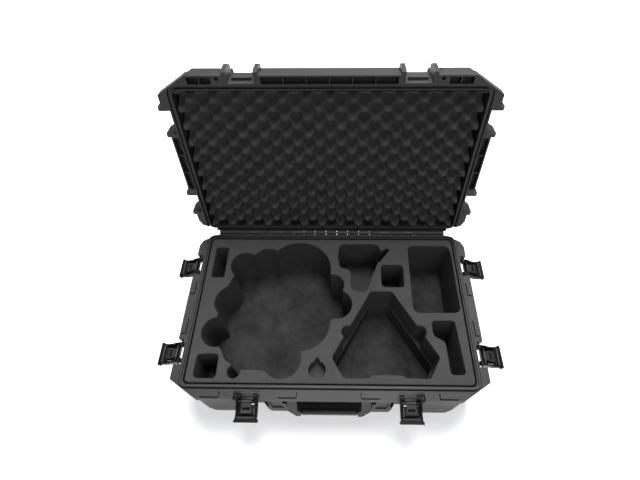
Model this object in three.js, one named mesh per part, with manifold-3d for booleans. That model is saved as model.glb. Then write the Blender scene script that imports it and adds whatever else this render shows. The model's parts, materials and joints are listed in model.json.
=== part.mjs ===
// Hard carrying case for a racing drone, its goggles and its controller, open with the lid leaning back.
// Millimetres, +Z up, X across the case, the front towards -Y, the hinge line at the back.
// The origin is the middle of the flat bottom. Plan positions are given as [x, reach], where reach
// is the distance in front of the hinge line.
import * as THREE from "three";
import { mergeVertices } from "three/addons/utils/BufferGeometryUtils.js";
import Module from "manifold-3d";

const wasm = await Module();
wasm.setup();

// Driving dimensions
const baseHeight = 150;
const lidHeight = 52;
const hingeY = 190;
const lidOpenAngle = 101;
const partingGap = 0.6;

const sideEdge = 309.5;
const frontEdge = 380;
const rearEdge = 5.6;
const chamferSide = 345;
const chamferFront = 254;
const flangeThick = 16;
const bodyInset = 3;
const baseTaperTop = 50;
const bottomScale = 0.985;

const foamHalfWidth = 281;
const foamRear = 19.5;
const foamFront = 350.5;
const foamRadius = 9;
const wall = 4.5;
const cavityGap = 3;
const floorThick = 5;
const floorPad = 19.4;
const insertBottom = 25;

const hingeHalfLength = 267;
const endKnuckle = 46;
const knucklePitch = 26;
const knuckleCount = 17;
const knuckleRadius = 5;
const hingePinRadius = 2;

const frontLatchX = 156;
const sideLatchFront = 290;
const sideLatchRear = 89;
const latchPivotInset = 7;
const latchPivotZ = 142;
const latchOpenAngle = 105;
const latchHalfWidth = 20.5;
const latchLength = 46;
const baseBayHalf = 25;
const baseBayInset = 15;
const lidBayHalf = 24;
const latchPinRadius = 2;
const triggerPivotW = 9.4;
const triggerPivotU = 0.8;

const handleArmInner = 64;
const handleArmOuter = 83;
const handlePivotReach = 372;
const handlePivotZ = 112;
const handleDrop = 42;
const handleForward = 14;
const handleBayHalf = 87;

const shellBlack = { color: 0x303236, roughness: 0.62, metalness: 0 };
const latchBlack = { color: 0x17181a, roughness: 0.42, metalness: 0 };
const gripBlack = { color: 0x1c1d1f, roughness: 0.55, metalness: 0 };
const foamGrey = { color: 0x2b2d30, roughness: 0.95, metalness: 0 };
const padGrey = { color: 0x3a3c3f, roughness: 0.95, metalness: 0 };
const eggCrateGrey = { color: 0x242527, roughness: 0.98, metalness: 0 };
const sealBlack = { color: 0x101112, roughness: 0.8, metalness: 0 };
const pinSteel = { color: 0x2c2d2f, roughness: 0.4, metalness: 1 };

// Solids
function solidOf(geometry) {
  const bare = geometry.index ? geometry.clone() : geometry;
  bare.deleteAttribute("normal");
  bare.deleteAttribute("uv");
  const merged = mergeVertices(bare, 1e-4);
  const triVerts = new Uint32Array(merged.index.array);
  const vertProperties = merged.attributes.position.array;
  return new wasm.Manifold(new wasm.Mesh({ numProp: 3, vertProperties, triVerts }));
}

function geometryOf(solid) {
  const mesh = solid.getMesh();
  const geometry = new THREE.BufferGeometry();
  geometry.setAttribute("position", new THREE.BufferAttribute(mesh.vertProperties, 3));
  geometry.setIndex(new THREE.BufferAttribute(mesh.triVerts, 1));
  geometry.computeVertexNormals();
  return geometry;
}

const join = (solids) => solids.reduce((all, one) => all.add(one));
const cut = (solid, tools) => tools.reduce((left, tool) => left.subtract(tool), solid);

function box(x0, x1, y0, y1, z0, z1) {
  const geometry = new THREE.BoxGeometry(x1 - x0, y1 - y0, z1 - z0);
  geometry.translate((x0 + x1) / 2, (y0 + y1) / 2, (z0 + z1) / 2);
  return solidOf(geometry);
}

// A prism of a plan outline in [x, y], with its lower outline scaled about a centre where it tapers.
function prism(points, z0, z1, scaleX = 1, scaleY = scaleX, centreY = 0) {
  const shape = new THREE.Shape(points.map(([x, y]) => new THREE.Vector2(x, y)));
  const geometry = new THREE.ExtrudeGeometry(shape, { depth: z1 - z0, bevelEnabled: false });
  geometry.translate(0, 0, z0);
  const position = geometry.attributes.position;
  for (let i = 0; i < position.count; i++) {
    if (position.getZ(i) > z0 + 0.001) continue;
    position.setX(i, position.getX(i) * scaleX);
    position.setY(i, centreY + (position.getY(i) - centreY) * scaleY);
  }
  return solidOf(geometry);
}

// A prism of an outline in [y, z] that runs across the case along X.
function prismAcross(points, x0, x1) {
  const shape = new THREE.Shape(points.map(([y, z]) => new THREE.Vector2(y, z)));
  const geometry = new THREE.ExtrudeGeometry(shape, { depth: x1 - x0, bevelEnabled: false });
  geometry.applyMatrix4(new THREE.Matrix4().set(0, 0, 1, x0, 1, 0, 0, 0, 0, 1, 0, 0, 0, 0, 0, 1));
  return solidOf(geometry);
}

function rodAcross(radius, x0, x1, y, z, sides = 16) {
  const geometry = new THREE.CylinderGeometry(radius, radius, x1 - x0, sides);
  geometry.rotateZ(Math.PI / 2);
  geometry.translate((x0 + x1) / 2, y, z);
  return solidOf(geometry);
}

function discUp(radius, x, y, z0, z1, sides = 24) {
  const geometry = new THREE.CylinderGeometry(radius, radius, z1 - z0, sides);
  geometry.rotateX(Math.PI / 2);
  geometry.translate(x, y, (z0 + z1) / 2);
  return solidOf(geometry);
}

// An outline with each corner turned into an arc of the given radius.
function rounded(points, radius, steps = 4) {
  const result = [];
  points.forEach((point, i) => {
    const here = new THREE.Vector2(...point);
    const before = new THREE.Vector2(...points.at(i - 1)).sub(here);
    const after = new THREE.Vector2(...points[(i + 1) % points.length]).sub(here);
    const reach = Math.min(radius, before.length() / 2.1, after.length() / 2.1);
    const start = here.clone().add(before.setLength(reach));
    const end = here.clone().add(after.setLength(reach));
    const curve = new THREE.QuadraticBezierCurve(start, here, end);
    curve.getPoints(steps).forEach((p) => result.push([p.x, p.y]));
  });
  return result;
}

const plan = (points) => points.map(([x, reach]) => [x, hingeY - reach]);
const rectangle = (x0, x1, r0, r1) => [[x0, r0], [x1, r0], [x1, r1], [x0, r1]];
const mirrored = (half) => [...half, ...half.map(([x, reach]) => [-x, reach]).reverse()];
const bothSides = (make) => [make(1), make(-1)];

// Shell outline in plan, with a bay at each latch. The inset moves the outline inwards and
// bayInset is how far each bay's back lies inside the flange's edge.
function shellOutline(inset, bayHalf, bayInset) {
  const side = sideEdge - inset;
  const front = frontEdge - inset;
  const rear = rearEdge + inset * 0.7;
  const bayX = sideEdge - bayInset;
  const bayReach = frontEdge - bayInset;
  const slope = 1.5;
  const sideBay = (centre) => [
    [side, centre - bayHalf - slope],
    [bayX, centre - bayHalf],
    [bayX, centre + bayHalf],
    [side, centre + bayHalf + slope],
  ];
  return mirrored([
    [268 - inset * 0.4, rear],
    [303 - inset, 24],
    [side, 38],
    ...sideBay(sideLatchRear),
    ...sideBay(sideLatchFront),
    [side, chamferSide - inset * 0.4],
    [chamferFront - inset * 0.4, front],
    [frontLatchX + bayHalf + slope, front],
    [frontLatchX + bayHalf, bayReach],
    [frontLatchX - bayHalf, bayReach],
    [frontLatchX - bayHalf - slope, front],
  ]);
}

function ringOutline(offset) {
  const half = foamHalfWidth + offset;
  const corners = rectangle(-half, half, foamRear - offset, foamFront + offset);
  return plan(rounded(corners, foamRadius + offset, 5));
}

function ring(inner, outer, z0, z1) {
  return prism(ringOutline(outer), z0, z1).subtract(prism(ringOutline(inner), z0 - 1, z1 + 1));
}

// Places of the six latches: the pivot's plan position, and the turn that points its outward side.
const latchPlaces = [
  { name: "front_left", x: -frontLatchX, reach: frontEdge - latchPivotInset, turn: 0 },
  { name: "front_right", x: frontLatchX, reach: frontEdge - latchPivotInset, turn: 0 },
  { name: "left_front", x: latchPivotInset - sideEdge, reach: sideLatchFront, turn: -90 },
  { name: "left_rear", x: latchPivotInset - sideEdge, reach: sideLatchRear, turn: -90 },
  { name: "right_front", x: sideEdge - latchPivotInset, reach: sideLatchFront, turn: 90 },
  { name: "right_rear", x: sideEdge - latchPivotInset, reach: sideLatchRear, turn: 90 },
];

// Moves a solid built at a front latch's pivot, outward side towards -Y, to one latch's place.
function atLatch(solid, place) {
  const matrix = new THREE.Matrix4().makeRotationZ(THREE.MathUtils.degToRad(place.turn));
  matrix.setPosition(place.x, hingeY - place.reach, 0);
  return solid.transform(matrix.toArray());
}

const hingeZ = baseHeight + partingGap / 2;

// Knuckle spans along the hinge, the end ones on the base and then lid and base in turn.
function knuckleSpans(onLid) {
  const spans = [];
  const inner = hingeHalfLength - endKnuckle;
  if (!onLid) spans.push([-hingeHalfLength, -inner], [inner, hingeHalfLength]);
  for (let i = 0; i < knuckleCount; i++) {
    const start = -inner + i * knucklePitch;
    if ((i % 2 === 0) === onLid) spans.push([start, start + knucklePitch]);
  }
  return spans.map(([a, b]) => [a + 0.4, b - 0.4]);
}

function knuckles(onLid) {
  const up = onLid ? 1 : -1;
  const web = [
    [hingeY - 4.2, hingeZ + up * 2],
    [hingeY + 1, hingeZ + up * 4.9],
    [hingeY - rearEdge - 3, hingeZ + up * 13],
    [hingeY - rearEdge - 3, hingeZ + up * 2],
  ];
  const outline = onLid ? web : web.toReversed();
  return knuckleSpans(onLid).map(([a, b]) =>
    rodAcross(knuckleRadius, a, b, hingeY, hingeZ, 12).add(prismAcross(outline, a, b)),
  );
}

const hingeBore = () =>
  rodAcross(hingePinRadius + 0.35, -hingeHalfLength - 5, hingeHalfLength + 5, hingeY, hingeZ, 12);

// Base shell
function makeBaseShell() {
  const flangeZ = baseHeight - flangeThick;
  const centreY = hingeY - (rearEdge + frontEdge) / 2;
  const bodyOutline = plan(shellOutline(bodyInset, baseBayHalf + 1, 20));
  const scaled = (points, sx, sy) => points.map(([x, y]) => [x * sx, centreY + (y - centreY) * sy]);
  const lowerOutline = scaled(bodyOutline, bottomScale, bottomScale);
  let shell = join([
    prism(plan(shellOutline(0, baseBayHalf, baseBayInset)), flangeZ, baseHeight),
    prism(bodyOutline, baseTaperTop, flangeZ),
    prism(bodyOutline, 7, baseTaperTop, bottomScale, bottomScale, centreY),
    prism(lowerOutline, 0, 7, 0.99, 0.99, centreY),
    prism(ringOutline(cavityGap + 2), 1, flangeZ),
    ring(5.6, 9, baseHeight - 1, baseHeight + 4.4),
    ...knuckles(false),
  ]);
  raisedPads().forEach(([x0, x1, r0, r1]) => {
    const outline = rounded(rectangle(x0, x1, r0, r1), 2.5, 3);
    shell = shell.add(prism(plan(outline), baseHeight - 1, baseHeight + 1.3));
  });
  return cut(shell, [
    prism(ringOutline(cavityGap), floorThick, baseHeight + 10),
    ring(9.3, 11.5, baseHeight - 3, baseHeight + 1),
    ...raisedPads().map(padGroove),
    ...handleBay(flangeZ),
    ...edgePockets(),
    ...bothSides((s) => padlockMark(s * 197)),
    ...stackingPads(-1, 2.4, 1),
    ...latchPlaces.map((place) => {
      const bore = rodAcross(latchPinRadius + 0.3, -33.3, 33.3, 0, latchPivotZ, 10);
      return atLatch(bore, place);
    }),
    rodAcross(3.3, -handleBayHalf - 12, handleBayHalf + 12, hingeY - handlePivotReach, handlePivotZ),
    valveBody(0.3),
    hingeBore(),
  ]);
}

// The raised pads on the flange, as [x0, x1, nearest reach, farthest reach].
function raisedPads() {
  const half = [
    [210, 244, 366.5, 376.2],
    [62, 96, 366.5, 376.2],
    [298.2, 306, 133, 162],
    [298.2, 306, 220, 252],
  ];
  return [...half, ...half.map(([x0, x1, r0, r1]) => [-x1, -x0, r0, r1])];
}

// The narrow groove along a pad's front edge and the edge nearest the middle of the case.
function padGroove([x0, x1, r0, r1]) {
  const padGap = 2.1;
  const [z0, z1] = [baseHeight - 4.5, baseHeight + 0.5];
  const inner = x0 > 0 ? [x0 - padGap, x0] : [x1, x1 + padGap];
  const side = box(...inner, hingeY - r1 - padGap, hingeY - r0, z0, z1);
  const [left, right] = [Math.min(inner[0], x0), Math.max(inner[1], x1)];
  const front = box(left, right, hingeY - r1 - padGap, hingeY - r1, z0, z1);
  return side.add(front);
}

// The bay that the handle folds into, the slots beside its arms, and the recessed front panels.
function handleBay(top) {
  const front = hingeY - 400;
  const half = handleBayHalf;
  const onEachSide = (x0, x1, r0, z0, z1) =>
    bothSides((s) => box(s > 0 ? x0 : -x1, s > 0 ? x1 : -x0, front, hingeY - r0, z0, z1));
  return [
    box(-half, half, front, hingeY - 359, 22, top),
    ...onEachSide(half - 1, half + 5.5, 369, 97, 127),
    ...onEachSide(half + 8, 118.5, 374.6, 56, 130),
    ...onEachSide(121.5, 127.3, 366, 74, 126),
  ];
}

// Hollows between the cavity's wall and the outside, open at the bottom.
function edgePockets() {
  const front = (x0, x1) => [
    box(x0, x1, -174, -169.5, -1, 60),
    box(x0, x1, -181, -169.5, 54, 122),
  ];
  const side = (s, y0, y1) => {
    const across = (a, b, z0, z1) => box(Math.min(s * a, s * b), Math.max(s * a, s * b), y0, y1, z0, z1);
    return [across(290.5, 293.4, -1, 60), across(290.5, 302.5, 54, 122)];
  };
  return [
    ...front(200, 244),
    ...front(-244, -200),
    ...front(104, 117),
    ...front(-117, -104),
    ...bothSides((s) => [...side(s, -2, 50), ...side(s, -60, -6)]).flat(),
  ];
}

// A ring moulded into the flange where a padlock eye can be opened.
function padlockMark(x) {
  const y = hingeY - 371.6;
  const outer = discUp(4, x, y, baseHeight - 1, baseHeight + 1, 20);
  return outer.subtract(discUp(2.4, x, y, baseHeight - 2, baseHeight + 2, 16));
}

// Shallow rectangles on the bottom that the pads on a lid underneath sit in.
function stackingPads(z0, z1, grow) {
  const corners = [1, -1].flatMap((s) => [
    [s * 215, 82],
    [s * 215, 300],
  ]);
  return corners.map(([x, reach]) => {
    const outline = rectangle(x - 38 - grow, x + 38 + grow, reach - 26 - grow, reach + 26 + grow);
    return prism(plan(rounded(outline, 8, 4)), z0, z1);
  });
}

function valveBody(grow) {
  const turned = (radius, y0, y1) => {
    const geometry = new THREE.CylinderGeometry(radius, radius, y1 - y0, 20);
    geometry.translate(0, (y0 + y1) / 2, 84);
    return solidOf(geometry);
  };
  const seat = hingeY - 359;
  return turned(11 + grow, seat - 4.5, seat - 0.3 + grow).add(
    turned(6 + grow, seat - 1, seat + 4 + grow),
  );
}

// Lid shell, built closed on the base and turned open by its group
function makeLidShell() {
  const low = baseHeight + partingGap;
  const top = low + lidHeight;
  const bayInset = latchPivotInset * 2;
  const skirtTop = low + 18;
  const crownOutline = plan(shellOutline(6, lidBayHalf, bayInset));
  const centreY = hingeY - (rearEdge + frontEdge) / 2;
  const scaled = (s) => crownOutline.map(([x, y]) => [x * s, centreY + (y - centreY) * s]);
  const ears = latchPlaces.flatMap((place) =>
    bothSides((s) => {
      const profile = [
        [4, low],
        [-13, low],
        [-15.5, low + 3],
        [-15.5, low + 30],
        [-9, low + 44],
        [4, low + 44],
      ];
      const edges = [s * lidBayHalf, s * (lidBayHalf + 7.5)].sort((a, b) => a - b);
      return atLatch(prismAcross(profile, ...edges), place);
    }),
  );
  const keepers = latchPlaces.map((place) =>
    atLatch(box(-18, 18, 2, 12, latchPivotZ + 21.5, latchPivotZ + 28), place),
  );
  const shell = join([
    prism(plan(shellOutline(0, lidBayHalf, bayInset)), low, skirtTop),
    prism(crownOutline, skirtTop, top - 6),
    prism(scaled(0.982), top - 6, top, 1 / 0.982, 1 / 0.982, centreY),
    ...stackingPads(top - 1, top + 2, 0),
    ...ears,
    ...keepers,
    ...knuckles(true),
  ]);
  return cut(shell, [
    prism(ringOutline(cavityGap), low - 1, top - wall),
    ring(5, 11.2, low - 1, low + 8),
    ...lidPockets(low),
    ...bothSides((s) => discUp(3.6, s * 197, hingeY - 374.4, low - 1, top + 1, 16)),
    hingeBore(),
  ]);
}

// The rows of open pockets between thin ribs in the lid's outer edge.
function lidPockets(low) {
  const deep = low + 14;
  const row = (start, end, count, make) => {
    const pitch = (end - start) / count;
    return Array.from({ length: count }, (_, i) =>
      make(start + i * pitch + 0.9, start + (i + 1) * pitch - 0.9),
    );
  };
  const frontPocket = (a, b) => box(a, b, hingeY - 377.2, hingeY - 364, low - 1, deep);
  const sidePocket = (s) => (a, b) => {
    const [x0, x1] = [s * 294.5, s * 306.7].sort((p, q) => p - q);
    return box(x0, x1, hingeY - b, hingeY - a, low - 1, deep);
  };
  const ribTops = (x0, x1, r0, r1) => box(x0, x1, hingeY - r1, hingeY - r0, low - 1, low + 2.2);
  return [
    ...row(-121, 121, 6, frontPocket),
    ribTops(-120, 120, 364, 377.2),
    ...bothSides((s) => [
      ...row(s > 0 ? 207 : -251, s > 0 ? 251 : -207, 2, frontPocket),
      ribTops(s > 0 ? 208 : -250, s > 0 ? 250 : -208, 364, 377.2),
      ...row(130, 258, 3, sidePocket(s)),
      ribTops(s > 0 ? 294.5 : -306.7, s > 0 ? 306.7 : -294.5, 131, 257),
    ]).flat(),
  ];
}

// Foam insert bays, each cut straight down to its own depth
const deepCut = insertBottom - 1;

function discs(list, z0) {
  return join(list.map(([x, reach, r]) => discUp(r, x, hingeY - reach, z0, baseHeight + 1, 24)));
}

const bay = (points, radius, z0) => prism(plan(rounded(points, radius, 3)), z0, baseHeight + 1);

function droneBay() {
  const lobes = [
    [-196, 89, 32],
    [-146, 76, 31],
    [-72, 101, 72],
    [5, 138, 25],
    [14, 184, 33],
    [-62, 225, 62],
    [-95, 304, 38],
    [-188, 329, 13],
    [-234, 248, 32],
    [-214, 179, 36],
  ];
  const middle = [
    [-196, 70],
    [-60, 60],
    [10, 130],
    [12, 210],
    [-62, 285],
    [-95, 326],
    [-176, 325],
    [-208, 306],
    [-240, 250],
    [-236, 170],
    [-218, 120],
  ];
  return discs(lobes, deepCut).add(bay(middle, 6, deepCut));
}

function gogglesBay() {
  const outline = [
    [88, 154],
    [134, 154],
    [220, 298],
    [197, 339],
    [149, 338],
    [144, 333],
    [83, 333],
    [78, 339],
    [28, 340],
    [5, 299],
  ];
  const ears = [
    [36, 245, 12],
    [187, 244, 12.5],
  ];
  return bay(outline, 5, deepCut).add(discs(ears, 80));
}

function controllerBay() {
  const body = [
    [22, 32],
    [108, 32],
    [117, 52],
    [102, 94],
    [77, 157],
    [44, 148],
    [45, 101],
    [20, 94],
    [16, 60],
  ];
  const slit = [
    [103, 74],
    [125, 42],
    [138, 45],
    [110, 80],
  ];
  return bay(body, 9, 40).add(bay(slit, 5, 96));
}

const plainBays = [
  [rectangle(-268, -239, 43, 121), 3, 52],
  [rectangle(113, 163, 87, 143), 9, 52],
  [[[178, 36], [271, 36], [276, 54], [276, 202], [177, 203]], 14, deepCut],
  [[[212, 221], [260, 220], [266, 331], [236, 331], [235, 266], [212, 252]], 8, 52],
  [[[-266, 295], [-222, 294], [-221, 342], [-266, 342]], 9, 52],
];

function makeBaseFoam() {
  const block = prism(ringOutline(0), insertBottom, baseHeight);
  return cut(block, [
    droneBay(),
    gogglesBay(),
    controllerBay(),
    ...plainBays.map(([points, radius, z0]) => bay(points, radius, z0)),
    discs([[-24, 324, 17], [-24, 304, 4]], baseHeight - 24),
  ]);
}

function makeFloorPad() {
  const pad = prism(ringOutline(0), floorThick + 0.3, floorThick + 0.3 + floorPad - 0.3);
  const nest = bay([[62, 236], [164, 236], [180, 268], [180, 322], [46, 322], [46, 268]], 14, 16);
  return pad.subtract(nest);
}

// Latch pieces at the pivot, closed and upright. Outward is -Y, so a profile in [out, up] turns
// into [y, z] with y = -out.
const latchProfile = (points) => points.map(([out, up]) => [-out, latchPivotZ + up]);
const latchRod = (radius, x0, x1, out, up, sides) =>
  rodAcross(radius, x0, x1, -out, latchPivotZ + up, sides);

function makeLatchBody() {
  const w = latchHalfWidth;
  const plate = latchProfile([
    [3.5, -3.2],
    [6.5, 5],
    [9, 14],
    [10, 28],
    [9.3, latchLength - 10],
    [6.5, latchLength - 2.5],
    [5, latchLength],
    [2, latchLength],
    [3, latchLength - 3.5],
    [6, latchLength - 10.5],
    [7, 28],
    [6, 14],
    [3.4, 5],
    [1, 1],
  ]);
  const cheek = latchProfile([
    [3.5, -3.2],
    [6.5, 5],
    [9, 14],
    [10, 28],
    [9.3, latchLength - 10],
    [6.5, latchLength - 2.5],
    [-3, latchLength - 4.5],
    [-3.2, latchLength - 8.5],
    [0.5, latchLength - 11.5],
    [0.5, 23],
    [-3.2, 15],
    [-4, 3],
    [-3.5, -3.2],
  ]);
  const lip = latchProfile([
    [5.8, latchLength - 4.5],
    [5, latchLength],
    [-3.6, latchLength],
    [-4, latchLength - 2],
    [-3.4, latchLength - 4.5],
  ]);
  const body = join([
    prismAcross(plate, -w, w),
    prismAcross(cheek, -w, -w + 3.6),
    prismAcross(cheek, w - 3.6, w),
    prismAcross(lip, -w - 2.2, w + 2.2),
    latchRod(3, -w + 2, w - 2, -0.6, latchLength - 7.4, 10),
    latchRod(5, -w, -12, 0, 0, 12),
    latchRod(5, 12, w, 0, 0, 12),
  ]);
  return cut(body, [
    latchRod(latchPinRadius + 0.3, -w - 2, w + 2, 0, 0, 10),
    latchRod(1.8, -w + 1.6, w - 1.6, triggerPivotU, triggerPivotW, 8),
    box(-11.7, 11.7, -14, 6, latchPivotZ - 6, latchPivotZ + 6),
    box(-13.5, 13.5, -14, -3.9, latchPivotZ + 13, latchPivotZ + 33.5),
  ]);
}

function makeTrigger() {
  const taper = [
    [-8.5, 12],
    [8.5, 12],
    [11.8, 31.5],
    [-11.8, 31.5],
  ];
  const shape = new THREE.Shape(taper.map(([x, up]) => new THREE.Vector2(x, up + latchPivotZ)));
  const plate = new THREE.ExtrudeGeometry(shape, { depth: 3.2, bevelEnabled: false });
  plate.applyMatrix4(new THREE.Matrix4().set(1, 0, 0, 0, 0, 0, 1, -2.6, 0, 1, 0, 0, 0, 0, 0, 1));
  plate.index = null;
  const turned = solidOf(flipped(plate));
  const tooth = latchProfile([
    [2.6, 28.6],
    [-4.4, 28.6],
    [-4.4, 29.6],
    [-0.6, 31.5],
    [2.6, 31.5],
  ]);
  const neck = box(-8.5, 8.5, -2.6, 0.6, latchPivotZ + 8, latchPivotZ + 14);
  const trigger = join([
    turned,
    prismAcross(tooth, -11.8, 11.8),
    neck,
    latchRod(3, -8.5, 8.5, triggerPivotU, triggerPivotW, 14),
  ]);
  return cut(trigger, [
    latchRod(1.8, -12, 12, triggerPivotU, triggerPivotW, 8),
    box(-7.4, 7.4, -6, 4, latchPivotZ + 19.6, latchPivotZ + 24.4),
  ]);
}

// Turns each triangle round, for a geometry whose matrix swapped two axes.
function flipped(geometry) {
  const array = geometry.attributes.position.array;
  for (let i = 0; i < array.length; i += 9) {
    for (let k = 0; k < 3; k++) {
      [array[i + 3 + k], array[i + 6 + k]] = [array[i + 6 + k], array[i + 3 + k]];
    }
  }
  return geometry;
}

const makeLatchPin = () => latchRod(latchPinRadius, -33, 33, 0, 0, 10);

const makeTriggerPin = () =>
  latchRod(1.5, -latchHalfWidth + 1.9, latchHalfWidth - 1.9, triggerPivotU, triggerPivotW, 8);

// The trigger's coiled return spring, as the sleeve that its turns fill.
function makeTriggerSpring() {
  const sleeve = latchRod(2.9, 9, 15.4, triggerPivotU, triggerPivotW, 8);
  return sleeve.subtract(latchRod(1.9, 8, 16, triggerPivotU, triggerPivotW, 8));
}

// Handle, folded down in front of its bay
const gripY = hingeY - handlePivotReach - handleForward;
const gripZ = handlePivotZ - handleDrop;

function makeHandleFrame() {
  const pivotY = hingeY - handlePivotReach;
  const arms = bothSides((s) => {
    const inner = s * handleArmInner;
    const outer = s * handleArmOuter;
    const shape = new THREE.Shape([
      new THREE.Vector2(s * (handleArmOuter - 4), handlePivotZ + 8),
      new THREE.Vector2(s * (handleArmInner + 3), handlePivotZ + 8),
      new THREE.Vector2(inner, handlePivotZ + 5),
      new THREE.Vector2(inner, gripZ + 12),
      new THREE.Vector2(s * 58, gripZ + 8),
      new THREE.Vector2(s * 58, gripZ - 8),
      new THREE.Vector2(s * 67, gripZ - 8),
      new THREE.Vector2(outer, gripZ + 10),
      new THREE.Vector2(outer, handlePivotZ + 4),
    ]);
    const geometry = new THREE.ExtrudeGeometry(shape, { depth: 11, bevelEnabled: false });
    const lean = -handleForward / handleDrop;
    geometry.applyMatrix4(
      new THREE.Matrix4().set(
        1, 0, 0, 0,
        0, -lean, -1, pivotY + 5.5 + lean * handlePivotZ,
        0, 1, 0, 0,
        0, 0, 0, 1,
      ),
    );
    return solidOf(geometry);
  });
  const frame = join([...arms, rodAcross(4.6, -60, 60, gripY, gripZ, 16)]);
  return cut(frame, [rodAcross(3.3, -100, 100, pivotY, handlePivotZ, 14)]);
}

function makeHandleGrip() {
  const section = rounded(
    [
      [gripY - 8, gripZ - 9],
      [gripY + 7.5, gripZ - 9],
      [gripY + 7.5, gripZ + 9],
      [gripY - 8, gripZ + 9],
    ],
    6,
    3,
  );
  return prismAcross(section, -57.5, 57.5).subtract(rodAcross(4.9, -60, 60, gripY, gripZ, 16));
}

function makeHandlePin(side) {
  const ends = [side * (handleArmInner + 2), side * (handleBayHalf + 11.7)].sort((a, b) => a - b);
  return rodAcross(2.95, ...ends, hingeY - handlePivotReach, handlePivotZ, 14);
}

// Assembly
function piece(name, solid, look) {
  const mesh = new THREE.Mesh(geometryOf(solid), new THREE.MeshStandardMaterial(look));
  mesh.name = name;
  return mesh;
}

// A group whose children are built about a hinge line across the case and then turned about it.
function turnedAbout(y, z, degrees, children) {
  const group = new THREE.Group();
  group.position.set(0, y, z);
  group.rotation.x = THREE.MathUtils.degToRad(degrees);
  children.forEach((child) => {
    child.position.set(0, -y, -z);
    group.add(child);
  });
  return group;
}

const carryingCase = new THREE.Group();

carryingCase.add(
  piece("base_shell", makeBaseShell(), shellBlack),
  piece("base_foam_insert", makeBaseFoam(), foamGrey),
  piece("base_floor_pad", makeFloorPad(), padGrey),
  piece("pressure_valve", valveBody(0), latchBlack),
  piece(
    "hinge_pin",
    rodAcross(hingePinRadius, -hingeHalfLength + 1, hingeHalfLength - 1, hingeY, hingeZ, 12),
    pinSteel,
  ),
  piece("handle_frame", makeHandleFrame(), shellBlack),
  piece("handle_grip", makeHandleGrip(), gripBlack),
  piece("handle_pin_left", makeHandlePin(-1), pinSteel),
  piece("handle_pin_right", makeHandlePin(1), pinSteel),
);

const lidLow = baseHeight + partingGap;
const lidRoof = lidLow + lidHeight - wall;
carryingCase.add(
  turnedAbout(hingeY, hingeZ, -lidOpenAngle, [
    piece("lid_shell", makeLidShell(), shellBlack),
    piece("lid_gasket", ring(5.4, 10.8, lidLow + 4.6, lidLow + 7.7), sealBlack),
    piece("lid_foam", prism(ringOutline(0), lidLow + 2, lidRoof - 0.3), eggCrateGrey),
  ]),
);

latchPlaces.forEach((place) => {
  const mount = new THREE.Group();
  mount.position.set(place.x, hingeY - place.reach, 0);
  mount.rotation.z = THREE.MathUtils.degToRad(place.turn);
  mount.add(piece(`latch_${place.name}_pin`, makeLatchPin(), pinSteel));
  mount.add(
    turnedAbout(0, latchPivotZ, latchOpenAngle, [
      piece(`latch_${place.name}_body`, makeLatchBody(), latchBlack),
      piece(`latch_${place.name}_trigger`, makeTrigger(), shellBlack),
      piece(`latch_${place.name}_trigger_pin`, makeTriggerPin(), pinSteel),
      piece(`latch_${place.name}_spring`, makeTriggerSpring(), pinSteel),
    ]),
  );
  carryingCase.add(mount);
});

export default carryingCase;
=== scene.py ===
"""Looks of the hard carrying case: an open black case with egg-crate foam in its lid and a cut foam insert.

Lengths are in metres in the frame of the CAD model, apart from plan outlines, which are in millimetres as
[x, reach], where reach is the distance in front of the hinge line.
"""

import json
import math

import bmesh
import bpy
import numpy as np
from mathutils import Matrix, Vector, noise
from mathutils.geometry import delaunay_2d_cdt


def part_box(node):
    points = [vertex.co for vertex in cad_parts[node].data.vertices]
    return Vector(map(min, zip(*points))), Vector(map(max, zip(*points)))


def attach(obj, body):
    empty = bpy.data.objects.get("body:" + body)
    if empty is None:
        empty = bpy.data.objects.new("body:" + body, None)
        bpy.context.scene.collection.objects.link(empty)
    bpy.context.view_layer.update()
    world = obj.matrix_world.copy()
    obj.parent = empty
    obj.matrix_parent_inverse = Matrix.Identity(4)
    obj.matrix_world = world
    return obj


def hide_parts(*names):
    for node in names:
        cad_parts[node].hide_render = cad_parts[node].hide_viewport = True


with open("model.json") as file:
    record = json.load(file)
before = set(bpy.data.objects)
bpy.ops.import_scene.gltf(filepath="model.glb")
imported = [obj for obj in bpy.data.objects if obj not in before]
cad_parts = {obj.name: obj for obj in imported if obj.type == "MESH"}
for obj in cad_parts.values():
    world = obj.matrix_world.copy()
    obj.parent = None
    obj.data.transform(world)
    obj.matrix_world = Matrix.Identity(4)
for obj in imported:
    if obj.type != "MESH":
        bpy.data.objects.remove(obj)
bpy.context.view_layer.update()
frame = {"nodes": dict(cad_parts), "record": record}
nodes = frame["nodes"]

MM = 0.001
HINGE_Y = 0.190
HINGE_Z = 0.1503
LID_OPEN = math.radians(101)
RIM_Z = 0.150
EGG_PITCH_X = 42.7
EGG_PITCH_REACH = 36.8
LATCH_OPEN = math.radians(105)
LATCH_PIVOT_Z = 0.142
LATCHES = {
    "front_left": (-0.156, -0.183),
    "front_right": (0.156, -0.183),
    "left_front": (-0.3025, -0.1),
    "left_rear": (-0.3025, 0.101),
    "right_front": (0.3025, -0.1),
    "right_rear": (0.3025, 0.101),
}


# Camera and light


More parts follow.
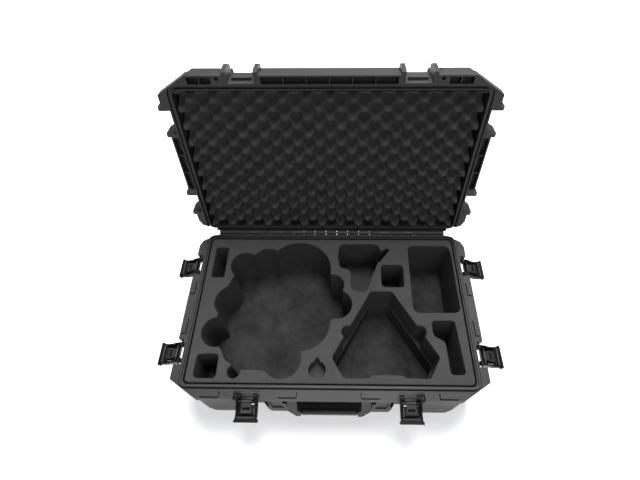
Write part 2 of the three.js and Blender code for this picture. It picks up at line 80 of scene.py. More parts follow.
def make_camera():
    """The view from above and in front, looking steeply down."""
    pitch, yaw, roll = math.radians(56.82), math.radians(-1.92), math.radians(-1.35)
    forward = Vector(
        (math.sin(yaw) * math.cos(pitch), math.cos(yaw) * math.cos(pitch), -math.sin(pitch))
    )
    level = Vector((math.cos(yaw), -math.sin(yaw), 0))
    up = level.cross(forward)
    right = math.cos(roll) * level + math.sin(roll) * up
    up = -math.sin(roll) * level + math.cos(roll) * up
    data = bpy.data.cameras.new("camera")
    data.sensor_width = 36
    data.lens = 22.69
    data.shift_x = -0.0166
    data.clip_start, data.clip_end = 0.05, 50
    camera = bpy.data.objects.new("camera", data)
    bpy.context.scene.collection.objects.link(camera)
    turn = Matrix((right, up, -forward)).transposed().to_4x4()
    camera.matrix_world = Matrix.Translation((0.0162, -0.3526, 0.9484)) @ turn
    bpy.context.scene.camera = camera


def make_lights():
    """A wide lamp behind, a smaller one above, a soft panel in front, and a pale studio around."""
    for name, spot, aim, size, power in (
        ("lamp_behind", (0.15, 1.35, 2.4), (0, 0, 0.1), 2.4, 140),
        ("lamp_above", (0.1, 0.42, 2.6), (0, 0, 0.1), 1.0, 30),
        ("lamp_front", (0.5, -2.4, 2.4), (0, 0, 0.2), 2.4, 45),
    ):
        data = bpy.data.lights.new(name, "AREA")
        data.shape = "DISK"
        data.size = size
        data.energy = power
        lamp = bpy.data.objects.new(name, data)
        bpy.context.scene.collection.objects.link(lamp)
        lamp.location = spot
        lamp.rotation_mode = "QUATERNION"
        lamp.rotation_quaternion = (Vector(aim) - Vector(spot)).to_track_quat("-Z", "Y")
    world = bpy.data.worlds.new("studio")
    world.use_nodes = True
    world.node_tree.nodes["Background"].inputs["Color"].default_value = (0.93, 0.95, 1.0, 1)
    world.node_tree.nodes["Background"].inputs["Strength"].default_value = 0.26
    bpy.context.scene.world = world
    bpy.context.scene.view_settings.view_transform = "Standard"


# Materials


class Shader:
    """A node tree for one material, with short calls for the nodes that every finish here uses."""

    def __init__(self, name):
        self.material = bpy.data.materials.new(name)
        self.material.use_nodes = True
        self.tree = self.material.node_tree
        self.bsdf = self.tree.nodes["Principled BSDF"]
        self.place = self.node("ShaderNodeTexCoord").outputs["Object"]

    def node(self, kind, inputs=None, **settings):
        made = self.tree.nodes.new(kind)
        for key, value in settings.items():
            setattr(made, key, value)
        for key, value in (inputs or {}).items():
            if isinstance(value, bpy.types.NodeSocket):
                self.tree.links.new(value, made.inputs[key])
            else:
                made.inputs[key].default_value = value
        return made

    def stretched(self, scale):
        return self.node("ShaderNodeMapping", {"Vector": self.place, "Scale": scale}).outputs[0]

    def noise(self, scale, detail=2.0, rough=0.5, place=None):
        inputs = {
            "Vector": place or self.place,
            "Scale": scale,
            "Detail": detail,
            "Roughness": rough,
        }
        return self.node("ShaderNodeTexNoise", inputs).outputs["Fac"]

    def cells(self, scale, place=None):
        inputs = {"Vector": place or self.place, "Scale": scale}
        return self.node("ShaderNodeTexVoronoi", inputs).outputs["Distance"]

    def spread(self, value, low, high, to_low=0.0, to_high=1.0):
        inputs = {
            "Value": value,
            "From Min": low,
            "From Max": high,
            "To Min": to_low,
            "To Max": to_high,
        }
        return self.node("ShaderNodeMapRange", inputs).outputs[0]

    def math(self, operation, a, b):
        made = self.node("ShaderNodeMath", operation=operation)
        for socket, value in zip(made.inputs, (a, b)):
            if isinstance(value, bpy.types.NodeSocket):
                self.tree.links.new(value, socket)
            else:
                socket.default_value = value
        return made.outputs[0]

    def mix(self, share, a, b):
        made = self.node("ShaderNodeMix", data_type="RGBA")
        for key, value in (("Factor", share), ("A", a), ("B", b)):
            socket = next(s for s in made.inputs if s.name == key and s.enabled)
            if isinstance(value, bpy.types.NodeSocket):
                self.tree.links.new(value, socket)
            else:
                socket.default_value = value
        return next(s for s in made.outputs if s.enabled)

    def edges(self, radius):
        """1 on convex and concave edges, 0 on flat faces."""
        bevel = self.node("ShaderNodeBevel", {"Radius": radius}, samples=4)
        flat = self.node("ShaderNodeNewGeometry").outputs["Normal"]
        inputs = {0: bevel.outputs[0], 1: flat}
        dot = self.node("ShaderNodeVectorMath", inputs, operation="DOT_PRODUCT").outputs["Value"]
        return self.spread(dot, 0.99, 0.80)

    def bump(self, layers):
        """Stacks (height, depth in metres, strength) layers into one normal."""
        normal = None
        for height, depth, strength in layers:
            inputs = {"Height": height, "Distance": depth, "Strength": strength}
            if normal is not None:
                inputs["Normal"] = normal
            normal = self.node("ShaderNodeBump", inputs).outputs[0]
        self.tree.links.new(normal, self.bsdf.inputs["Normal"])

    def finish(self, color, roughness, **constants):
        self.tree.links.new(color, self.bsdf.inputs["Base Color"])
        self.tree.links.new(roughness, self.bsdf.inputs["Roughness"])
        for key, value in constants.items():
            self.bsdf.inputs[key.replace("_", " ")].default_value = value
        return self.material


def grey(value):
    """A near-neutral tone, with a trace more blue."""
    return (value, value, value * 1.02, 1)


def plastic(name, tone, rough, grain, grain_depth, wear, gloss=0.35):
    """Moulded plastic: a fine textured grain, cloudy tone, faint scuffs and paler worn edges."""
    s = Shader(name)
    cloud = s.noise(9, 4, 0.6)
    fine = s.noise(grain, 3, 0.6)
    scuff = s.spread(s.noise(60, 6, 0.75, s.stretched((1, 3.5, 1))), 0.62, 0.78)
    edge = s.math("MULTIPLY", s.edges(0.0011), s.spread(s.noise(45, 4, 0.6), 0.35, 0.65, 0.35, 1.0))
    body = s.mix(s.spread(cloud, 0.35, 0.65), grey(tone * 0.86), grey(tone * 1.12))
    body = s.mix(s.math("MULTIPLY", scuff, 0.22), body, grey(tone * 2.2))
    body = s.mix(s.math("MULTIPLY", edge, wear), body, grey(tone * 3.4))
    shine = s.spread(cloud, 0.3, 0.7, rough - 0.05, rough + 0.06)
    shine = s.math("ADD", shine, s.math("MULTIPLY", scuff, 0.08))
    shine = s.math("SUBTRACT", shine, s.math("MULTIPLY", edge, 0.06))
    s.bump([(cloud, 0.0006, 0.12), (fine, grain_depth, 0.55)])
    return s.finish(body, shine, Specular_IOR_Level=gloss)


def closed_cell_foam(name, tone, mottle, mottle_size):
    """Cut closed-cell foam: fine pores, upright streaks on the walls left by the blade, paler cut edges."""
    s = Shader(name)
    pores = s.cells(900)
    fine = s.noise(1500, 3, 0.7)
    streak = s.noise(420, 3, 0.6, s.stretched((1, 1, 0.03)))
    cloud = s.noise(mottle_size, 5, 0.6)
    speck = s.spread(s.noise(700, 2, 0.5), 0.35, 0.75)
    body = s.mix(s.spread(cloud, 0.33, 0.67), grey(tone * (1 - mottle)), grey(tone * (1 + mottle)))
    body = s.mix(s.math("MULTIPLY", speck, 0.35), body, grey(tone * 1.7))
    body = s.mix(s.math("MULTIPLY", s.edges(0.002), 0.3), body, grey(tone * 2.3))
    s.bump([(streak, 0.0006, 0.5), (pores, 0.0004, 0.5), (fine, 0.0002, 0.4)])
    shine = s.spread(cloud, 0.3, 0.7, 0.84, 0.94)
    return s.finish(body, shine, Specular_IOR_Level=0.12)


def open_cell_foam(name, tone):
    """Egg-crate foam: open pores and a soft matt nap."""
    s = Shader(name)
    pores = s.cells(1100)
    fine = s.noise(2200, 3, 0.7)
    cloud = s.noise(28, 4, 0.6)
    body = s.mix(s.spread(cloud, 0.33, 0.67), grey(tone * 0.85), grey(tone * 1.15))
    body = s.mix(s.spread(pores, 0.15, 0.75, 0.5, 0.0), body, grey(tone * 0.3))
    s.bump([(pores, 0.0005, 0.6), (fine, 0.0002, 0.5)])
    shine = s.spread(cloud, 0.3, 0.7, 0.9, 0.97)
    return s.finish(body, shine, Specular_IOR_Level=0.08)


def rubber(name, tone, rough):
    """Soft moulded rubber: a fine matt grain with dusty patches."""
    s = Shader(name)
    fine = s.noise(1800, 3, 0.6)
    cloud = s.noise(40, 5, 0.65)
    body = s.mix(s.spread(cloud, 0.35, 0.7), grey(tone * 0.85), grey(tone * 1.3))
    body = s.mix(s.math("MULTIPLY", s.edges(0.0012), 0.35), body, grey(tone * 2.6))
    s.bump([(fine, 0.00018, 0.5), (cloud, 0.0004, 0.15)])
    return s.finish(body, s.spread(cloud, 0.3, 0.7, rough - 0.05, rough + 0.06), Specular_IOR_Level=0.5)


def blackened_steel(name):
    """Blackened steel wire and pins: fine lengthwise lines, and bare metal where the finish has rubbed."""
    s = Shader(name)
    lines = s.noise(1600, 3, 0.6, s.stretched((0.04, 1, 1)))
    cloud = s.noise(120, 4, 0.6)
    body = s.mix(s.spread(cloud, 0.35, 0.7), grey(0.018), grey(0.035))
    body = s.mix(s.math("MULTIPLY", s.edges(0.0006), 0.5), body, grey(0.12))
    s.bump([(lines, 0.00006, 0.5)])
    return s.finish(body, s.spread(lines, 0.3, 0.7, 0.24, 0.42), Metallic=1.0)


def pale_floor(name):
    """A matt studio floor that glows a little, so that it stays white under the case's shadow."""
    s = Shader(name)
    cloud = s.noise(3, 3, 0.5)
    body = s.mix(cloud, (0.88, 0.88, 0.885, 1), (0.92, 0.92, 0.925, 1))
    constants = {"Emission_Color": (1, 1, 1, 1), "Emission_Strength": 0.30}
    return s.finish(body, s.spread(cloud, 0.3, 0.7, 0.7, 0.8), **constants)


MATERIALS = {
    "shell": plastic("shell_plastic", 0.017, 0.50, 1150, 0.00022, 0.35, 0.28),
    "latch_plastic": plastic("latch_plastic", 0.0035, 0.34, 1700, 0.00010, 0.45, 0.10),
    "grip": rubber("grip_rubber", 0.014, 0.42),
    "eva_foam": closed_cell_foam("insert_foam", 0.038, 0.12, 30),
    # The floor pad's tone, darker than the insert's, is painted shade for the floors at the bottom of the
    # deep bays; its strong mottle is dust.
    "floor_foam": closed_cell_foam("floor_pad_foam", 0.026, 0.5, 24),
    "egg_crate_foam": open_cell_foam("egg_crate_foam", 0.044),
    "seal": rubber("seal_rubber", 0.012, 0.6),
    "steel": blackened_steel("blackened_steel"),
}


# Mesh helpers


def new_piece(name, verts, faces, slot, body, smooth=True):
    mesh = bpy.data.meshes.new(name)
    mesh.from_pydata([tuple(map(float, v)) for v in verts], [], [tuple(map(int, f)) for f in faces])
    mesh.validate()
    mesh.update()
    work = bmesh.new()
    work.from_mesh(mesh)
    bmesh.ops.recalc_face_normals(work, faces=work.faces)
    work.to_mesh(mesh)
    work.free()
    mesh.polygons.foreach_set("use_smooth", [smooth] * len(mesh.polygons))
    piece = bpy.data.objects.new(name, mesh)
    bpy.context.scene.collection.objects.link(piece)
    mesh.materials.append(MATERIALS[slot])
    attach(piece, body)
    return piece


def sharpen(piece, degrees=40):
    """Keeps edges over this angle sharp in a smooth-shaded piece."""
    piece.data.set_sharp_from_angle(angle=math.radians(degrees))


def swell(x, y, z, size, seed=0.0):
    """Smooth noise of about -1 to 1 at a length scale in metres."""
    return noise.noise(Vector((x, y, z)) / size + Vector((seed, seed * 0.7, seed * 1.3)))


def lid_point(x, reach, depth):
    """A point in the open lid: x and reach as when it is closed, and depth above the closed rim."""
    closed = Vector((x, HINGE_Y - reach, RIM_Z + depth))
    pivot = Vector((0, HINGE_Y, HINGE_Z))
    return pivot + Matrix.Rotation(-LID_OPEN, 3, "X") @ (closed - pivot)


# Plan outlines of the foam bays


def rounded(points, radius, steps=10):
    """The outline with each corner turned into an arc of about that radius."""
    made = []
    count = len(points)
    for i, point in enumerate(points):
        here = np.array(point, float)
        before = np.array(points[i - 1], float) - here
        after = np.array(points[(i + 1) % count], float) - here
        reach = min(radius, np.linalg.norm(before) / 2.1, np.linalg.norm(after) / 2.1)
        start = here + before / np.linalg.norm(before) * reach
        end = here + after / np.linalg.norm(after) * reach
        for k in range(steps + 1):
            t = k / steps
            made.append((1 - t) ** 2 * start + 2 * t * (1 - t) * here + t**2 * end)
    return np.array(made)


def distance_to_outline(x, y, outline):
    """Signed distance from grid points to a closed outline, negative inside."""
    best = np.full(x.shape, 1e9)
    inside = np.zeros(x.shape, bool)
    for (ax, ay), (bx, by) in zip(outline, np.roll(outline, -1, axis=0)):
        dx, dy = bx - ax, by - ay
        length = dx * dx + dy * dy
        if length < 1e-12:
            continue
        t = np.clip(((x - ax) * dx + (y - ay) * dy) / length, 0, 1)
        best = np.minimum(best, (x - ax - t * dx) ** 2 + (y - ay - t * dy) ** 2)
        if ay != by:
            crosses = (ay > y) != (by > y)
            inside ^= crosses & (x < (bx - ax) * (y - ay) / (by - ay) + ax)
    return np.where(inside, -1, 1) * np.sqrt(best)


def blended_union(fields, soft):
    """The union of shapes given as signed distances, with the inner creases softened."""
    total = fields[0]
    for field in fields[1:]:
        share = np.clip(0.5 + 0.5 * (field - total) / soft, 0, 1)
        total = field * (1 - share) + total * share - soft * share * (1 - share)
    return total


def trace(field, xs, ys):
    """The closed zero lines of a field on a grid, each an array of points."""
    inside = field < 0
    starts = {}
    rows, cols = np.nonzero(
        (inside[:-1, :-1] != inside[1:, :-1])
        | (inside[:-1, :-1] != inside[:-1, 1:])
        | (inside[:-1, :-1] != inside[1:, 1:])
    )

    def crossing(a, b):
        (i, j), (k, m) = a, b
        t = field[i, j] / (field[i, j] - field[k, m])
        return (xs[j] + t * (xs[m] - xs[j]), ys[i] + t * (ys[k] - ys[i]))

    for i, j in zip(rows.tolist(), cols.tolist()):
        corners = [(i, j), (i, j + 1), (i + 1, j + 1), (i + 1, j)]
        state = [bool(inside[c]) for c in corners]
        leave = [k for k in range(4) if state[k] and not state[(k + 1) % 4]]
        enter = [k for k in range(4) if not state[k] and state[(k + 1) % 4]]
        for a, b in zip(leave, enter if len(enter) == 1 else enter[::-1]):
            edge = [tuple(sorted((corners[k], corners[(k + 1) % 4]))) for k in (a, b)]
            starts[edge[0]] = edge[1]
    loops = []
    while starts:
        first, here = starts.popitem()
        loop = [crossing(*first)]
        while here != first:
            loop.append(crossing(*here))
            here = starts.pop(here)
        loops.append(np.array(loop))
    return loops


def evenly(loop, spacing):
    """The closed loop with its points an even distance apart."""
    closed = np.vstack([loop, loop[:1]])
    steps = np.linalg.norm(np.diff(closed, axis=0), axis=1)
    along = np.concatenate([[0], np.cumsum(steps)])
    count = max(12, round(along[-1] / spacing))
    at = np.arange(count) * along[-1] / count
    return np.column_stack([np.interp(at, along, closed[:, k]) for k in (0, 1)])


def outward(loop):
    """Unit normals of a closed loop, pointing out of the shape that it encloses."""
    ahead, behind = np.roll(loop, -1, axis=0), np.roll(loop, 1, axis=0)
    tangent = ahead - behind
    normal = np.column_stack([tangent[:, 1], -tangent[:, 0]])
    normal /= np.linalg.norm(normal, axis=1)[:, None]
    area = np.sum(loop[:, 0] * ahead[:, 1] - ahead[:, 0] * loop[:, 1])
    return normal if area > 0 else -normal


GRID_X = np.arange(-285, 286, 1.0)
GRID_Y = np.arange(15, 356, 1.0)
PLAN_X, PLAN_Y = np.meshgrid(GRID_X, GRID_Y)


def shape(points, radius):
    return distance_to_outline(PLAN_X, PLAN_Y, rounded(points, radius))


def disc(x, reach, radius):
    return np.hypot(PLAN_X - x, PLAN_Y - reach) - radius


def rectangle(x0, x1, r0, r1):
    return [(x0, r0), (x1, r0), (x1, r1), (x0, r1)]


DRONE_LOBES = (
    (-196, 89, 32),
    (-146, 76, 31),
    (-72, 101, 72),
    (5, 138, 25),
    (14, 184, 33),
    (-62, 225, 62),
    (-95, 304, 38),
    (-188, 329, 13),
    (-234, 248, 32),
    (-214, 179, 36),
)
DRONE_MIDDLE = [
    (-196, 70),
    (-60, 60),
    (10, 130),
    (12, 210),
    (-62, 285),
    (-95, 326),
    (-176, 325),
    (-208, 306),
    (-240, 250),
    (-236, 170),
    (-218, 120),
]
GOGGLES = [
    (88, 154),
    (134, 154),
    (220, 298),
    (197, 339),
    (149, 338),
    (144, 333),
    (83, 333),
    (78, 339),
    (28, 340),
    (5, 299),
]
CONTROLLER = [
    (22, 32),
    (108, 32),
    (117, 52),
    (102, 94),
    (77, 157),
    (44, 148),
    (45, 101),
    (20, 94),
    (16, 60),
]
CONTROLLER_SLIT = [(103, 74), (125, 42), (138, 45), (110, 80)]
BATTERY = [(178, 36), (271, 36), (276, 54), (276, 202), (177, 203)]
HUB = [(212, 221), (260, 220), (266, 331), (236, 331), (235, 266), (212, 252)]
FRONT_SQUARE = [(-266, 295), (-222, 294), (-221, 342), (-266, 342)]


def bay_levels():
    """Each bay as [(plan field, floor height in mm), ...] from the top down. None goes right through."""
    goggles = shape(GOGGLES, 5)
    goggles_ears = blended_union([goggles, disc(36, 245, 12), disc(187, 244, 12.5)], 5)
    controller = shape(CONTROLLER, 9)
    controller_slit = blended_union([controller, shape(CONTROLLER_SLIT, 5)], 9)
    drone = blended_union([shape(DRONE_MIDDLE, 6)] + [disc(*lobe) for lobe in DRONE_LOBES], 5)
    dish = blended_union([disc(-24, 324, 17), disc(-24, 304, 4)], 5)
    return [
        [(drone, None)],
        [(goggles_ears, 80), (goggles, None)],
        [(controller_slit, 96), (controller, 40)],
        [(shape(BATTERY, 14), None)],
        [(shape(rectangle(-268, -239, 43, 121), 3), 52)],
        [(shape(rectangle(113, 163, 87, 143), 9), 52)],
        [(shape(HUB, 8), 52)],
        [(shape(FRONT_SQUARE, 9), 52)],
        [(dish, 126)],
    ]


# Base foam insert


class Solid:
    """Grows one closed mesh from rings of plan points at heights, and flat caps between rings."""

    def __init__(self):
        self.verts, self.faces = [], []

    def ring(self, loop, z, offset=0.0, wobble=0.0, seed=0.0):
        """Adds a loop of points in mm, moved outward by offset, and returns its vertex numbers."""
        first = len(self.verts)
        for (x, reach), (nx, ny) in zip(loop, outward(loop)):
            move = offset
            if wobble:
                move += wobble * swell(x, reach, z * 0.35, 26, seed)
                move += wobble * 0.45 * swell(x, reach, z * 0.02, 5, seed + 9)
            self.verts.append(((x + nx * move), (reach + ny * move), z))
        return list(range(first, len(self.verts)))

    def wall(self, upper, lower):
        for i in range(len(upper)):
            k = (i + 1) % len(upper)
            self.faces.append((upper[i], upper[k], lower[k], lower[i]))

    def cap(self, outer, holes, spacing=None, bumps=0.0):
        """Fills between a ring and its holes, with a light grid of inner points if spacing is given."""
        ids = list(outer) + [i for hole in holes for i in hole]
        points = [Vector(self.verts[i][:2]) for i in ids]
        edges, at = [], 0
        for loop in [outer, *holes]:
            edges += [(at + i, at + (i + 1) % len(loop)) for i in range(len(loop))]
            at += len(loop)
        level = self.verts[outer[0]][2]
        rings = [np.array([self.verts[i][:2] for i in loop]) for loop in [outer, *holes]]
        if spacing:
            low, high = rings[0].min(0), rings[0].max(0)
            gx, gy = np.meshgrid(
                np.arange(low[0] + spacing, high[0], spacing),
                np.arange(low[1] + spacing, high[1], spacing),
            )
            inner = -distance_to_outline(gx, gy, rings[0])
            for hole in rings[1:]:
                inner = np.minimum(inner, distance_to_outline(gx, gy, hole))
            for x, reach in zip(gx[inner > 2.5], gy[inner > 2.5]):
                ids.append(len(self.verts))
                lift = bumps * swell(x, reach, 0, 30, 3) + bumps * 0.5 * swell(x, reach, 0, 9, 5)
                self.verts.append((x, reach, level + lift))
                points.append(Vector((x, reach)))
        made, _, triangles, source, _, _ = delaunay_2d_cdt(points, edges, [], 0, 1e-5)
        names = [ids[s[0]] if s else None for s in source]
        middle = np.array([[(made[a] + made[b] + made[c]) / 3 for a, b, c in triangles]])[0]
        keep = distance_to_outline(middle[:, 0], middle[:, 1], rings[0]) < 0
        for hole in rings[1:]:
            keep &= distance_to_outline(middle[:, 0], middle[:, 1], hole) > 0
        for triangle, kept in zip(triangles, keep):
            if kept:
                self.faces.append(tuple(names[i] for i in triangle))


def make_insert():
    """The cut foam block: rounded cut edges, walls waved slightly by the blade, and flat bay floors."""
    top, bottom = 150.0, 25.0
    solid = Solid()
    outline = evenly(rounded(rectangle(-281, 281, 19.5, 350.5), 9, 8), 3)
    rim = [(0.0, -1.6), (-0.5, -0.5), (-1.7, 0.0)]
    rings = [solid.ring(outline, top + z, off) for z, off in reversed(rim)]
    outer_top, outer_low = rings[-1], rings[0]
    solid.wall(rings[2], rings[1])
    solid.wall(rings[1], rings[0])
    foot = solid.ring(outline, bottom)
    solid.wall(outer_low, foot)
    top_holes, foot_holes = [], []
    for number, levels in enumerate(bay_levels()):
        ceiling = top
        previous = None
        for depth, (field, floor) in enumerate(levels):
            loop = evenly(max(trace(field + 1.2 * depth, GRID_X, GRID_Y), key=len), 2.2)
            low = bottom if floor is None else float(floor)
            if depth == 0:
                chain = [solid.ring(loop, top + z, -off) for z, off in rim]
                top_holes.append(chain[0])
            else:
                chain = [solid.ring(loop, ceiling)]
                solid.cap(previous, [chain[0]])
            count = max(2, round((ceiling - low) / 14))
            heights = np.linspace(ceiling - 3, low + 3, count)
            chain += [solid.ring(loop, z, 0, 0.35, number) for z in heights]
            if floor is not None and depth == len(levels) - 1:
                chain += [solid.ring(loop, low + 0.7, -0.5), solid.ring(loop, low, -1.6)]
            else:
                chain.append(solid.ring(loop, low))
            for upper, lower in zip(chain, chain[1:]):
                solid.wall(upper, lower)
            previous, ceiling = chain[-1], low
        if levels[-1][1] is None:
            foot_holes.append(previous)
        else:
            solid.cap(previous, [], 9, 0.25)
    solid.cap(outer_top, top_holes, 8, 0.22)
    solid.cap(foot, foot_holes)
    verts = [(x * MM, HINGE_Y - reach * MM, z * MM) for x, reach, z in solid.verts]
    piece = new_piece("insert_cut_foam", verts, solid.faces, "eva_foam", "base")
    sharpen(piece, 55)
    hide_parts("base_foam_insert")


def heightfield(nx, ny, point, back):
    """Closed sheet: point(i, j) gives the shaped face and back(i, j) the flat one behind it."""
    verts = [point(i, j) for j in range(ny) for i in range(nx)]
    faces = [
        (j * nx + i, j * nx + i + 1, (j + 1) * nx + i + 1, (j + 1) * nx + i)
        for j in range(ny - 1)
        for i in range(nx - 1)
    ]
    edge = (
        [(i, 0) for i in range(nx - 1)]
        + [(nx - 1, j) for j in range(ny - 1)]
        + [(i, ny - 1) for i in range(nx - 1, 0, -1)]
        + [(0, j) for j in range(ny - 1, 0, -1)]
    )
    first = len(verts)
    verts += [back(i, j) for i, j in edge]
    for k, (i, j) in enumerate(edge):
        m = (k + 1) % len(edge)
        i2, j2 = edge[m]
        faces.append((j * nx + i, first + k, first + m, j2 * nx + i2))
    faces.append(tuple(range(first, len(verts))))
    return verts, faces


def tube_faces(rings, around):
    """The faces of a tube whose points come ring by ring, with a cap at each end."""
    faces = []
    for k in range(rings - 1):
        for m in range(around):
            n = (m + 1) % around
            a, b = k * around, (k + 1) * around
            faces.append((a + m, a + n, b + n, b + m))
    faces.append(tuple(range(around)))
    faces.append(tuple(range((rings - 1) * around, rings * around)))
    return faces


def smooth_step(value, low, high):
    t = min(max((value - low) / (high - low), 0.0), 1.0)
    return t * t * (3 - 2 * t)


def make_floor_pad():
    """The pad under the insert, with a shallow nest for the goggles that slopes in from the rear."""
    low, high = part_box("base_floor_pad")
    step = 0.0035
    nx, ny = round((high.x - low.x) / step) + 1, round((high.y - low.y) / step) + 1
    nest = evenly(
        rounded([(62, 224), (150, 221), (166, 236), (181, 268), (182, 324), (45, 324), (46, 268)], 14), 4
    )
    xs = np.linspace(low.x, high.x, nx)
    ys = np.linspace(low.y, high.y, ny)
    gx, gy = np.meshgrid(xs / MM, (HINGE_Y - ys) / MM)
    inside = -distance_to_outline(gx, gy, nest)

    def height(i, j):
        x, reach = gx[j, i], gy[j, i]
        drop = 7.6 * smooth_step(inside[j, i], -1.5, 5)
        if 60 < x < 170 and reach < 240:
            drop = max(drop, 5.2 * smooth_step(reach, 176, 182) * smooth_step(abs(x - 112), 40, 30))
        lump = 0.35 * swell(x, reach, 0, 24, 2) + 0.2 * swell(x, reach, 0, 8, 4)
        return high.z - MM * (drop + 0.45 + lump)

    verts, faces = heightfield(
        nx,
        ny,
        lambda i, j: (xs[i], ys[j], height(i, j)),
        lambda i, j: (xs[i], ys[j], low.z),
    )
    piece = new_piece("floor_pad_foam", verts, faces, "floor_foam", "base")
    sharpen(piece, 60)
    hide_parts("base_floor_pad")


def make_egg_crate():
    """Convoluted foam: rounded peaks in offset rows with deep valleys between them."""
    half, rear, front = 0.2805, 0.0200, 0.3500
    peak_depth, relief, back_depth = 0.0035, 0.024, 0.0475
    steepness, first_peak, roughness = 1.5, 185, 0.0006
    step = 0.0024
    nx, ny = round(2 * half / step) + 1, round((front - rear) / step) + 1
    xs, reaches = np.linspace(-half, half, nx), np.linspace(rear, front, ny)

    def depth(x, reach):
        wave = math.cos(2 * math.pi * x / MM / EGG_PITCH_X)
        wave *= math.cos(2 * math.pi * (reach / MM - first_peak) / EGG_PITCH_REACH)
        level = math.tanh(steepness * wave) / math.tanh(steepness)
        height = 0.5 + 0.5 * level
        return peak_depth + relief * (1 - height) + roughness * swell(x, reach, 0, 0.03, 1)

    verts, faces = heightfield(
        nx,
        ny,
        lambda i, j: lid_point(xs[i], reaches[j], depth(xs[i], reaches[j])),
        lambda i, j: lid_point(xs[i], reaches[j], back_depth),
    )
    piece = new_piece("lid_egg_crate_foam", verts, faces, "egg_crate_foam", "lid")
    sharpen(piece, 70)
    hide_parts("lid_foam")


# Small pieces


def make_spring(name):
    """A coiled return spring on a trigger's pin: six turns of round wire with closed ends."""
    node = f"latch_{name}_spring"
    low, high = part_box(node)
    middle, size = (low + high) / 2, high - low
    along = Vector((1, 0, 0)) if name.startswith("front") else Vector((0, 1, 0))
    side = Vector((0, 0, 1))
    other = along.cross(side)
    length = size.dot(along)
    wire, radius, turns, around, sides = 0.00036, 0.0024, 6, 20, 8
    count = turns * around
    verts = []
    for k in range(count + 1):
        t = k / count
        angle = 2 * math.pi * turns * t
        out = side * math.cos(angle) + other * math.sin(angle)
        travel = (length - 2 * wire) * (t - 0.5)
        centre = middle + along * travel + out * radius
        for m in range(sides):
            b = 2 * math.pi * m / sides
            verts.append(centre + (out * math.cos(b) + along * math.sin(b)) * wire)
    faces = tube_faces(count + 1, sides)
    piece = new_piece(f"spring_coil_{name}", verts, faces, "steel", f"latch_{name}")
    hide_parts(node)


def latch_point(name, along, out, up):
    """A point of an open latch: along its pin, and outward and up from the pin when it is closed."""
    x, y = LATCHES[name]
    away = out * math.cos(LATCH_OPEN) + up * math.sin(LATCH_OPEN)
    z = LATCH_PIVOT_Z - out * math.sin(LATCH_OPEN) + up * math.cos(LATCH_OPEN)
    if name.startswith("front"):
        return (x + along, y - away, z)
    return (x + math.copysign(away, x), y + along, z)


def make_latch_roll(name):
    """The ridged finger roll across a latch, near its free end."""
    half, radius, count, around = 0.0182, 0.0031, 72, 20
    out, up = -0.0006, 0.0386
    end_round, ridge_pitch, ridge_depth = 0.0022, 0.0024, 0.00022
    verts = []
    for k in range(count + 1):
        along = half * (2 * k / count - 1)
        end = smooth_step(half - abs(along), 0, end_round)
        ridge = ridge_depth * math.cos(2 * math.pi * along / ridge_pitch)
        size = radius * (0.62 + 0.38 * math.sqrt(end)) + ridge * end
        for m in range(around):
            b = 2 * math.pi * m / around
            verts.append(latch_point(name, along, size * math.cos(b) + out, size * math.sin(b) + up))
    faces = tube_faces(count + 1, around)
    piece = new_piece(f"latch_roll_{name}", verts, faces, "shell", f"latch_{name}")
    sharpen(piece, 50)


def make_trigger_button(name):
    """The trigger's press face: a crowned plate that fills the window in the latch's outer side."""
    half, low, high = 0.0131, 0.0157, 0.0330
    inner, face, crown = 0.0027, 0.0074, 0.0010
    nx, nw = 27, 21

    def at(i, j, crowned):
        s, t = 2 * i / (nx - 1) - 1, 2 * j / (nw - 1) - 1
        out = face + crown * (1 - s**4) * (1 - t**4) if crowned else inner
        return latch_point(name, half * s, out, (low + high) / 2 + (high - low) / 2 * t)

    verts, faces = heightfield(nx, nw, lambda i, j: at(i, j, True), lambda i, j: at(i, j, False))
    piece = new_piece(f"trigger_button_{name}", verts, faces, "latch_plastic", f"trigger_{name}")
    sharpen(piece, 50)


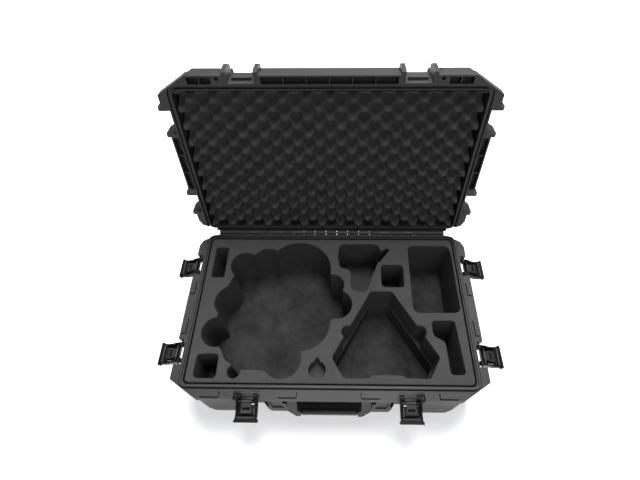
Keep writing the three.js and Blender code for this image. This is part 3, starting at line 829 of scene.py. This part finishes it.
def make_grip():
    """The soft grip on the handle's bar: a rounded bar, thinned at its ends, with shallow ribs round it."""
    low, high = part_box("handle_grip")
    middle, size = (low + high) / 2, high - low
    count, around = 116, 36
    rib_pitch, rib_depth, plain_end, end_round = 0.005, 0.00045, 0.012, 0.003
    verts = []
    for k in range(count + 1):
        t = k / count
        x = low.x + size.x * t
        near_end = min(t, 1 - t) * size.x
        shrink = 0.0016 * (1 - smooth_step(near_end, 0, end_round))
        groove = 0.0
        if near_end > plain_end:
            groove = rib_depth * smooth_step(math.cos(2 * math.pi * (x / rib_pitch)), 0.35, 0.95)
        for m in range(around):
            b = 2 * math.pi * m / around
            c, s = math.cos(b), math.sin(b)
            y = math.copysign(abs(c) ** 0.7, c) * (size.y * 0.42 - shrink - groove)
            z = math.copysign(abs(s) ** 0.7, s) * (size.z * 0.36 - shrink - groove)
            verts.append((x, middle.y + y, middle.z + z))
    faces = tube_faces(count + 1, around)
    piece = new_piece("handle_soft_grip", verts, faces, "grip", "handle")
    sharpen(piece, 60)
    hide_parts("handle_grip")


def finish_cad_nodes():
    """Gives each CAD node its finish, and softens the moulded pieces' edges."""
    slots = {part["node"]: part["material_slot"] for part in frame["record"]["subparts"]}
    widths = {"shell": 0.0009, "latch_plastic": 0.0005, "seal": 0.0004, "steel": 0.00025}
    weld_distance = 0.000005
    for name, node in nodes.items():
        slot = slots[name]
        node.data.materials.clear()
        node.data.materials.append(MATERIALS[slot])
        weld = node.modifiers.new("weld", "WELD")
        weld.merge_threshold = weld_distance
        if slot in widths:
            bevel = node.modifiers.new("soft_edges", "BEVEL")
            bevel.width = widths[slot]
            bevel.segments = 2
            bevel.limit_method = "ANGLE"
            bevel.angle_limit = math.radians(35)


def make_stage():
    """A wide pale floor, which isn't part of the case."""
    size = 9.0
    mesh = bpy.data.meshes.new("floor")
    mesh.from_pydata(
        [(-size, -size, 0), (size, -size, 0), (size, size, 0), (-size, size, 0)], [], [(0, 1, 2, 3)]
    )
    floor = bpy.data.objects.new("floor", mesh)
    bpy.context.scene.collection.objects.link(floor)
    mesh.materials.append(pale_floor("pale_floor"))


make_camera()
make_lights()
make_stage()
finish_cad_nodes()
make_insert()
make_floor_pad()
make_egg_crate()
make_grip()
for latch in LATCHES:
    make_spring(latch)
    make_latch_roll(latch)
    make_trigger_button(latch)
